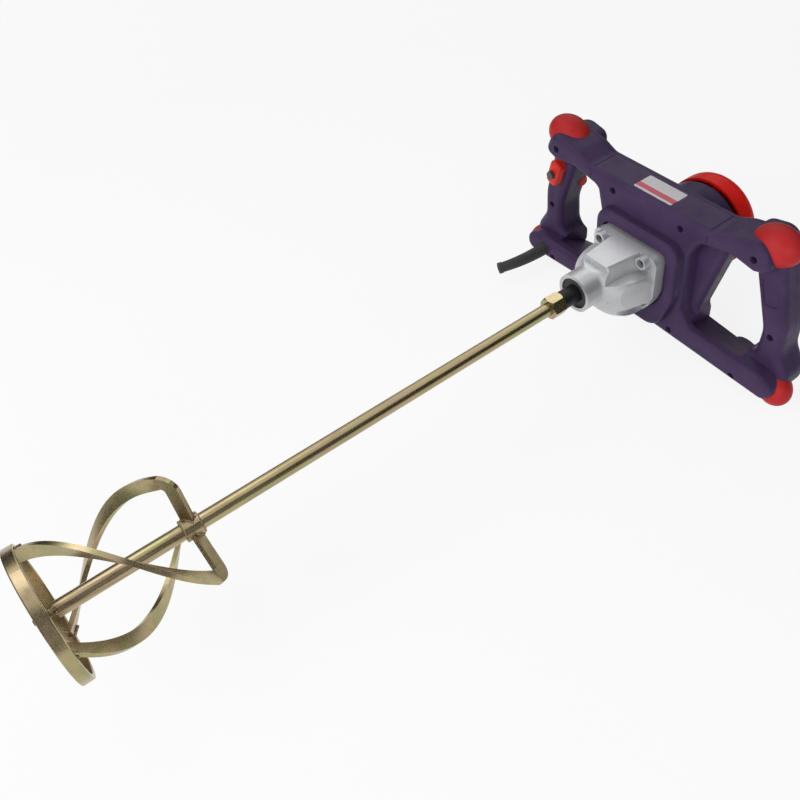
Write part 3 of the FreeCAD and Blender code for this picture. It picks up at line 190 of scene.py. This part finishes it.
class Finish(Nodes):
    """One material, its shader and the nodes that feed it."""

    def __init__(self, name, **constants):
        self.material = bpy.data.materials.new(name)
        self.material.use_nodes = True
        super().__init__(self.material.node_tree)
        self.shader = self.tree.nodes["Principled BSDF"]
        self.set(**constants)

    def set(self, **sockets):
        """Feed the shader's sockets, named with _ for each space."""
        for key, value in sockets.items():
            self.feed(self.shader.inputs[key.replace("_", " ")], value)

    def place(self, stretch=EVEN, shift=(0, 0, 0)):
        """Object coordinates, stretched or shifted for a pattern."""
        spot = self.node("TexCoord", output="Object")
        return self.node("Mapping", {}, {"Vector": spot, "Scale": stretch, "Location": shift})

    def axes(self):
        """The three object coordinates as values."""
        spot = self.node("TexCoord", output="Object")
        return [self.node("SeparateXYZ", {}, {0: spot}, axis) for axis in ("X", "Y", "Z")]

    def noise(self, scale, detail=3.0, rough=0.5, stretch=EVEN, shift=(0, 0, 0)):
        """Clouds of a scale per metre, from 0 to 1."""
        return self.node("TexNoise", {}, {"Vector": self.place(stretch, shift), "Scale": scale,
                                          "Detail": detail, "Roughness": rough})

    def vary(self, clouds, low=0.0, high=1.0):
        """Value that goes from low to high over the usual swing of clouds."""
        return self.between(clouds, 0.3, 0.7, low, high)

    def ramp(self, value, *stops):
        """Colour that goes through the stops as the value rises."""
        return self.node("ValToRGB", {"stops": stops}, {0: value})

    def mix(self, amount, first, second):
        """Colour mix; a plain colour has three numbers."""
        def whole(colour):
            return colour if isinstance(colour, Value) else (*colour, 1.0)
        return self.node("Mix", {"data_type": "RGBA"}, {0: amount, 6: whole(first), 7: whole(second)}, 2)

    def bump(self, height, depth, under=None):
        """Relief of a height pattern whose full swing is depth metres, over another one if given."""
        sockets = {"Height": height, "Distance": depth, "Strength": 1.0}
        if under is not None:
            sockets["Normal"] = under
        return self.node("Bump", {}, sockets)


def tone(red, green, blue):
    """Colour as read off a picture, turned to the shader's scale."""
    shares = [level / 255 for level in (red, green, blue)]
    return tuple(share / 12.92 if share < 0.04 else ((share + 0.055) / 1.055) ** 2.4 for share in shares)


def moulded(name, light, dark, roughness, grain=2200.0, depth=0.00006, gloss=0.5):
    """Moulded plastic or rubber: spark-eroded grain, faint clouds in the colour and worn shiny patches."""
    look = Finish(name, Specular_IOR_Level=gloss)
    clouds = look.noise(22.0, detail=4.0)
    look.colour = look.mix(look.between(clouds, 0.35, 0.65), dark, light)
    look.set(Base_Color=look.colour)
    patches = look.noise(60.0, detail=5.0, rough=0.6, shift=(3, 1, 2))
    look.set(Roughness=look.vary(patches, roughness - 0.06, roughness + 0.08))
    look.relief = look.bump(look.noise(grain, detail=2.0, rough=0.6), depth)
    look.set(Normal=look.relief)
    return look


def housing_finish():
    """Dark plum plastic, with the fine groove where the two shells meet."""
    look = moulded("plum_plastic", tone(67, 52, 83), tone(59, 44, 74), roughness=0.4, gloss=0.1)
    groove_half, groove_edge, groove_depth, groove_shade = 0.0002, 0.0005, 0.0004, 0.7
    depth_axis = look.axes()[1]
    joint = 1.0 - look.between(abs(depth_axis - SHELL_JOINT), groove_half, groove_edge)
    look.set(Base_Color=look.mix(joint * groove_shade, look.colour, tone(22, 16, 28)))
    look.set(Normal=look.bump(1.0 - joint, groove_depth, look.relief))
    return look.material


def bumper_finish():
    """Soft red rubber of the corners."""
    look = moulded("red_rubber", tone(178, 40, 42), tone(162, 32, 34),
                   roughness=0.46, grain=1500.0, depth=0.00005, gloss=0.16)
    return look.material


def cap_finish():
    """Bright red plastic of the rear cap."""
    look = moulded("red_plastic", tone(230, 30, 24), tone(218, 24, 19),
                   roughness=0.4, grain=2600.0, depth=0.00003, gloss=0.14)
    return look.material


def trigger_finish():
    """Smooth red plastic of the trigger and the lock button."""
    look = moulded("red_trigger", tone(204, 44, 34), tone(186, 34, 27),
                   roughness=0.34, grain=3000.0, depth=0.00002, gloss=0.3)
    return look.material


def boot_finish(name="black_rubber"):
    """Dull black rubber of the cord boot and the seal."""
    look = moulded(name, tone(59, 59, 60), tone(46, 46, 47),
                   roughness=0.6, grain=1800.0, depth=0.00008, gloss=0.4)
    return look.material


def knob_finish():
    """Dark grey plastic of the dial, the switch and the fan."""
    look = moulded("dark_plastic", tone(70, 66, 62), tone(52, 49, 46),
                   roughness=0.45, grain=2600.0, depth=0.00004)
    return look.material


def cast_finish():
    """Blasted die-cast aluminium, dull, with faint flow clouds."""
    look = Finish("cast_aluminium", Metallic=0.62)
    clouds = look.noise(30.0, detail=5.0, rough=0.6)
    look.set(Base_Color=look.mix(look.vary(clouds), tone(184, 185, 188), tone(198, 199, 201)))
    look.set(Roughness=look.vary(look.noise(400.0), 0.36, 0.46))
    grit = look.noise(1400.0, rough=0.6)
    look.set(Normal=look.bump(grit, 0.00012))
    return look.material


def zinc_finish(name, cloud_stretch, line_stretch):
    """Yellow passivated zinc: straw gold with olive and rosy clouds, over the lines of the steel."""
    look = Finish(name, Metallic=1.0)
    clouds = look.noise(24.0, stretch=cloud_stretch)
    colour = look.ramp(clouds, (0.32, tone(158, 154, 112)), (0.45, tone(176, 162, 122)),
                       (0.55, tone(176, 156, 126)), (0.68, tone(164, 160, 114)))
    specks = look.noise(110.0, detail=4.0, rough=0.6, stretch=cloud_stretch, shift=(5, 2, 7))
    stains = look.between(specks, 0.52, 0.75, 0.0, 0.4)
    look.set(Base_Color=look.mix(stains, colour, tone(118, 104, 76)))
    lines = look.noise(700.0, detail=2.0, stretch=line_stretch)
    look.set(Roughness=look.vary(lines, 0.24, 0.32))
    look.set(Normal=look.bump(lines, 0.000003))
    return look.material


def black_finish():
    """Blackened turned steel."""
    look = Finish("black_steel", Metallic=0.7)
    clouds = look.noise(120.0, detail=4.0)
    look.set(Base_Color=look.mix(look.vary(clouds), tone(30, 30, 33), tone(46, 46, 49)))
    rings = look.noise(1500.0, detail=2.0, stretch=TURNED)
    look.set(Roughness=look.vary(rings, 0.36, 0.5))
    look.set(Normal=look.bump(rings, 0.00003))
    return look.material


def steel_finish(name, light, dark, roughness, stretch):
    """Ground or turned metal whose fine lines run the way that the stretch leaves long."""
    look = Finish(name, Metallic=1.0)
    lines = look.noise(1300.0, rough=0.6, stretch=stretch)
    clouds = look.noise(70.0, detail=4.0)
    look.set(Base_Color=look.mix(look.between(clouds + lines * 0.3, 0.4, 0.9), dark, light))
    look.set(Roughness=look.vary(lines, roughness - 0.06, roughness + 0.1))
    look.set(Normal=look.bump(lines, 0.00003))
    return look.material


def weld_finish():
    """Zinc over the scales of a weld bead."""
    look = Finish("zinc_weld", Metallic=1.0)
    scales = look.noise(420.0, detail=2.0)
    look.set(Base_Color=look.mix(look.between(scales, 0.35, 0.65), tone(132, 122, 94), tone(178, 164, 130)))
    look.set(Roughness=look.vary(scales, 0.3, 0.5))
    look.set(Normal=look.bump(scales, 0.0003))
    return look.material


def plate_finish():
    """Bare name plate: a pale band behind, a red band in front and light borders, faintly worn."""
    look = Finish("plate_foil", Specular_IOR_Level=0.4)
    across = look.axes()[1]
    pale = look.mix(look.noise(260.0, detail=4.0), tone(190, 186, 190), tone(208, 205, 207))
    red = look.mix(look.noise(260.0, detail=4.0, shift=(2, 4, 1)), tone(176, 58, 76), tone(196, 78, 92))
    red_front = PLATE_FRONT + 0.0028
    red_back = PLATE_FRONT + 0.0104
    blur = 0.0003
    past_front = look.between(across, red_front, red_front + blur)
    past_back = look.between(across, red_back, red_back + blur)
    look.set(Base_Color=look.mix(past_front - past_back, pale, red))
    look.set(Roughness=look.vary(look.noise(90.0, detail=5.0), 0.34, 0.5))
    look.set(Normal=look.bump(look.noise(1800.0), 0.00002))
    return look.material


finishes = {
    "housing": housing_finish(),
    "bumper": bumper_finish(),
    "cap": cap_finish(),
    "alloy": cast_finish(),
    "zinc": zinc_finish("zinc_flat", EVEN, EVEN),
    "black_steel": black_finish(),
    "steel": steel_finish("ground_steel", tone(205, 206, 208), tone(176, 177, 180), 0.3, TURNED),
    "bronze": steel_finish("bronze", tone(196, 158, 98), tone(160, 122, 70), 0.4, TURNED),
    "screw": steel_finish("black_zinc", tone(96, 96, 98), tone(66, 66, 68), 0.36, EVEN),
    "seal": boot_finish("seal_rubber"),
    "laminate": steel_finish("sheet_stack", tone(132, 130, 128), tone(78, 77, 76), 0.45, STACKED),
    "copper": steel_finish("enamelled_copper", tone(196, 112, 66), tone(140, 70, 40), 0.35, WOUND),
    "dark_plastic": knob_finish(),
    "carbon": steel_finish("pressed_carbon", tone(62, 62, 64), tone(40, 40, 42), 0.6, EVEN),
    "trigger": trigger_finish(),
    "boot": boot_finish(),
}
own_finish = {"paddle_rod": zinc_finish("zinc_drawn", DRAWN_CLOUDS, DRAWN)}
bead_finish = weld_finish()


def dress_pieces():
    """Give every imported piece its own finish, or else the one of its slot."""
    for part in record["subparts"]:
        node = part["node"]
        mesh = frame["nodes"][node].data
        mesh.materials.clear()
        mesh.materials.append(own_finish.get(node, finishes[part["material_slot"]]))


def add_piece(name, shape, material, smooth=False):
    """Finished mesh from a bmesh, as an object at the origin."""
    bmesh.ops.recalc_face_normals(shape, faces=shape.faces)
    for face in shape.faces:
        face.smooth = smooth
    mesh = bpy.data.meshes.new(name)
    shape.to_mesh(mesh)
    shape.free()
    mesh.materials.append(material)
    piece = bpy.data.objects.new(name, mesh)
    bpy.context.scene.collection.objects.link(piece)
    return piece


def name_plate():
    """Thin bare plate with rounded corners on the top bar."""
    width, length, thick = 0.052, 0.027, 0.0006
    corner_r, rim_r = 0.0016, 0.00015
    seat = BAR_TOP + thick / 4
    shape = bmesh.new()
    bmesh.ops.create_cube(shape, size=1.0)
    bmesh.ops.scale(shape, vec=(width, length, thick), verts=shape.verts)
    bmesh.ops.translate(shape, vec=(0, PLATE_FRONT + length / 2, seat), verts=shape.verts)
    upright = [edge for edge in shape.edges if abs(edge.verts[0].co.z - edge.verts[1].co.z) > thick / 2]
    bmesh.ops.bevel(shape, geom=upright, offset=corner_r, affect="EDGES", segments=4, profile=0.5,
                    material=-1)
    rim = [edge for edge in shape.edges if min(vert.co.z for vert in edge.verts) > seat]
    bmesh.ops.bevel(shape, geom=rim, offset=rim_r, affect="EDGES", segments=2, profile=0.5, material=-1)
    piece = add_piece("name_plate", shape, plate_finish())
    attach(piece, "housing")


def polar(radius, angle, y=0.0):
    """Point round the spindle's axis, at an angle in radians."""
    return Vector((radius * math.cos(angle), y, radius * math.sin(angle)))


def run(start, end):
    """Points from start to end, about a step apart."""
    step = 0.001
    count = max(2, round((end - start).length / step) + 1)
    return [start.lerp(end, i / (count - 1)) for i in range(count)]


def bar_directions(angle):
    """Ways of a spiral's bar at an angle: outwards, along the bar and through its thickness."""
    out = polar(1, angle)
    along = polar(math.cos(ribbon_rise), angle + math.pi / 2) - Vector((0, math.sin(ribbon_rise), 0))
    return out, along, out.cross(along).normalized()


def bead(shape, points, size):
    """Weld bead: overlapping flat scales at the points, each a little different."""
    flat = Matrix.Diagonal((1.0, 0.82, 0.9, 1.0))
    swell_share, swell_step, turn_step = 0.12, 2.4, 0.7
    for i, point in enumerate(points):
        swell = size * (1 + swell_share * math.sin(swell_step * i))
        turn = Matrix.Rotation(turn_step * i, 4, "Y") @ flat
        bmesh.ops.create_uvsphere(shape, u_segments=10, v_segments=7, radius=swell,
                                  matrix=Matrix.Translation(point) @ turn)


def weld_piece(name, rows, size):
    """All the beads of one joint as a piece on the spindle."""
    shape = bmesh.new()
    for points in rows:
        bead(shape, points, size)
    piece = add_piece(name, shape, bead_finish, smooth=True)
    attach(piece, "spindle")


def sleeve_welds():
    """Beads round the rod at both ends of the sleeve."""
    scales = 46
    radius = (rod_r + hub_r) / 2
    rows = []
    for y in (hub_low[1], hub_high[1]):
        rows.append([polar(radius, math.tau * i / scales, y) for i in range(scales)])
    weld_piece("sleeve_welds", rows, size=0.0016)


def arm_welds():
    """Beads on both faces of each arm, where it meets the round sleeve."""
    half_length, proud = 0.0052, 0.0005
    rows = []
    for i in range(ARMS):
        angle = ARM_ANGLE + math.tau * i / ARMS
        out, along, through = bar_directions(angle)
        for side in (-1, 1):
            edge = through * (side * (BAR_THICK / 2 + proud))
            row = []
            for spot in run(along * -half_length + edge, along * half_length + edge):
                sideways = spot.dot(polar(1, angle + math.pi / 2))
                row.append(spot + out * math.sqrt(hub_r ** 2 - sideways ** 2) + Vector((0, hub_y, 0)))
            rows.append(row)
    weld_piece("arm_welds", rows, size=0.0014)


def ribbon_welds():
    """Beads on both faces of each spiral's end, inside the ring."""
    length, proud = 0.008, 0.0003
    rows = []
    for i in range(ARMS):
        out, along, through = bar_directions(ARM_ANGLE + RIBBON_TURN + math.tau * i / ARMS)
        end = out * inner_r + Vector((0, ring_y + RIBBON_END_RISE, 0))
        for side in (-1, 1):
            edge = end + through * (side * (BAR_THICK / 2 + proud))
            rows.append(run(edge - along * length, edge))
    weld_piece("ribbon_welds", rows, size=0.0013)


def crossbar_welds():
    """Beads beside the crossbar, at both ends in the ring and across the rod's end."""
    proud, sunk, margin = 0.0004, 0.0003, 0.001
    lengthwise = polar(1, CROSSBAR_ANGLE)
    sideways = polar(1, CROSSBAR_ANGLE + math.pi / 2)
    front = Vector((0, ring_low[1] + margin, 0))
    behind = Vector((0, ring_high[1] - margin, 0))
    rows = []
    for side in (-1, 1):
        edge = sideways * (side * (BAR_THICK / 2 + proud))
        for end in (-1, 1):
            spot = lengthwise * (end * (inner_r - sunk)) + edge
            rows.append(run(spot + front, spot + behind))
        back = edge + Vector((0, ring_y + BAR_WIDTH / 2, 0))
        rows.append(run(back - lengthwise * rod_r, back + lengthwise * rod_r))
    weld_piece("crossbar_welds", rows, size=0.0014)


def squeezed_springs():
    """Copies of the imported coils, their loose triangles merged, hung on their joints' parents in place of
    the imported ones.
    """
    for joint in record["behaviour"]["joints"]:
        for row in joint.get("deforming_nodes", []):
            node = row["node"]
            letter = row["mode"][-1]
            axis = Vector([float(letter == each) for each in "xyz"])
            fixed = axis * row["fixed_end_" + letter + "_m"]
            length = max(abs((Vector(corner) - fixed).dot(axis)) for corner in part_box(node))
            shape = bmesh.new()
            shape.from_mesh(frame["nodes"][node].data)
            bmesh.ops.remove_doubles(shape, verts=shape.verts, dist=0.000001)
            piece = add_piece(node + "_coil", shape, finishes["steel"], smooth=True)
            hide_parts(node)
            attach(piece, joint["parent"])
            1 - joint["range_m"][1] / length
            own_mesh(piece)


def pale_floor():
    """Floor that keeps the shadow near the drill and fades to white further out."""
    half_side, gap = 6.0, 0.0005
    near, far, near_white = 0.9, 3.0, 0.86
    shape = bmesh.new()
    bmesh.ops.create_grid(shape, x_segments=1, y_segments=1, size=half_side)
    bmesh.ops.translate(shape, verts=shape.verts, vec=(0, 0, FLOOR_Z - gap))
    look = Finish("pale_floor", Roughness=0.9)
    look.set(Base_Color=look.mix(look.noise(1.5), tone(236, 236, 236), tone(240, 240, 240)))
    glow = look.node("Emission", {}, {"Strength": 1.0})
    reach = look.node("VectorMath", {"operation": "LENGTH"}, {0: look.place()}, "Value")
    white = look.between(reach, near, far, near_white, 1.0)
    lit = Value(look, look.shader.outputs[0])
    blend = look.node("MixShader", {}, {0: look.seen() * white, 1: lit, 2: glow})
    look.feed(look.tree.nodes["Material Output"].inputs[0], blend)
    add_piece("floor", shape, look.material)


def card_ring():
    """Dark card round the drill that only reflections show, tallest on the viewer's side."""
    radius, tall, short = 1.4, 2.8, 0.35
    middle_y = -0.15
    to_viewer = Vector((0.75, -0.66, 0))
    slope = (tall - short) / (2 * radius)
    shape = bmesh.new()
    bmesh.ops.create_cone(shape, segments=96, radius1=radius, radius2=radius, depth=2 * tall)
    bmesh.ops.translate(shape, verts=shape.verts, vec=(0, middle_y, FLOOR_Z + tall))
    bmesh.ops.bisect_plane(shape, geom=shape.verts[:] + shape.edges[:] + shape.faces[:], clear_outer=True,
                           plane_co=(0, middle_y, FLOOR_Z + (tall + short) / 2),
                           plane_no=Vector((0, 0, 1)) - to_viewer * slope)
    look = Finish("dark_card", Roughness=0.9)
    look.set(Base_Color=look.mix(look.noise(3.0), tone(38, 38, 38), tone(46, 46, 46)))
    card = add_piece("card_ring", shape, look.material)
    card.visible_camera = False
    card.visible_diffuse = False
    card.visible_shadow = False


def surroundings():
    """White surroundings to look at, which light the drill only softly."""
    soft_light = 0.22
    world = bpy.data.worlds.new("surroundings")
    bpy.context.scene.world = world
    world.use_nodes = True
    nodes = Nodes(world.node_tree)
    sky = nodes.tree.nodes["Background"].inputs
    nodes.feed(sky["Color"], (1, 1, 1, 1))
    nodes.feed(sky["Strength"], nodes.between(nodes.seen(), 0.0, 1.0, soft_light, 1.0))


def lamp(name, spot, aim, size, power):
    """Square soft lamp that looks at a point."""
    light = bpy.data.lights.new(name, "AREA")
    light.size = size
    light.energy = power
    holder = bpy.data.objects.new(name, light)
    bpy.context.scene.collection.objects.link(holder)
    holder.location = spot
    holder.rotation_euler = (Vector(aim) - Vector(spot)).to_track_quat("-Z", "Y").to_euler()


def photo_camera():
    """Camera of the photograph, fitted to the rod, the ring, the collar, the corners and the cap."""
    right = Vector((0.6491781, 0.76000675, -0.03094413))
    down = Vector((0.51765918, -0.47124657, -0.71411179))
    ahead = Vector((-0.55731209, 0.44756722, -0.69934742))
    stand = Vector((0.47825, -0.48792, 0.58238))
    focal, centre_u, centre_v, frame_width = 854.28, 498.69, 352.48, 800.0
    lens = bpy.data.cameras.new("photo_camera")
    lens.sensor_width = 36.0
    lens.lens = focal * lens.sensor_width / frame_width
    lens.shift_x = 0.5 - centre_u / frame_width
    lens.shift_y = centre_v / frame_width - 0.5
    lens.clip_start = 0.02
    holder = bpy.data.objects.new("photo_camera", lens)
    bpy.context.scene.collection.objects.link(holder)
    turn = Matrix((right, -down, -ahead)).transposed().to_4x4()
    holder.matrix_world = Matrix.Translation(stand) @ turn
    bpy.context.scene.camera = holder


dress_pieces()
name_plate()
sleeve_welds()
arm_welds()
ribbon_welds()
crossbar_welds()
squeezed_springs()
pale_floor()
card_ring()
surroundings()
lamp("key", (-0.9, -0.5, 1.7), aim=(0, -0.1, 0), size=1.0, power=5)
lamp("front", (-0.3, -2.0, 1.0), aim=(0, 0, 0), size=1.5, power=33)
lamp("right", (1.7, -1.0, 0.7), aim=(0, 0.1, 0), size=1.2, power=16)
lamp("rear", (-0.9, 1.1, 1.2), aim=(0, 0, 0), size=0.7, power=2.4)
photo_camera()
bpy.context.scene.view_settings.view_transform = "Standard"
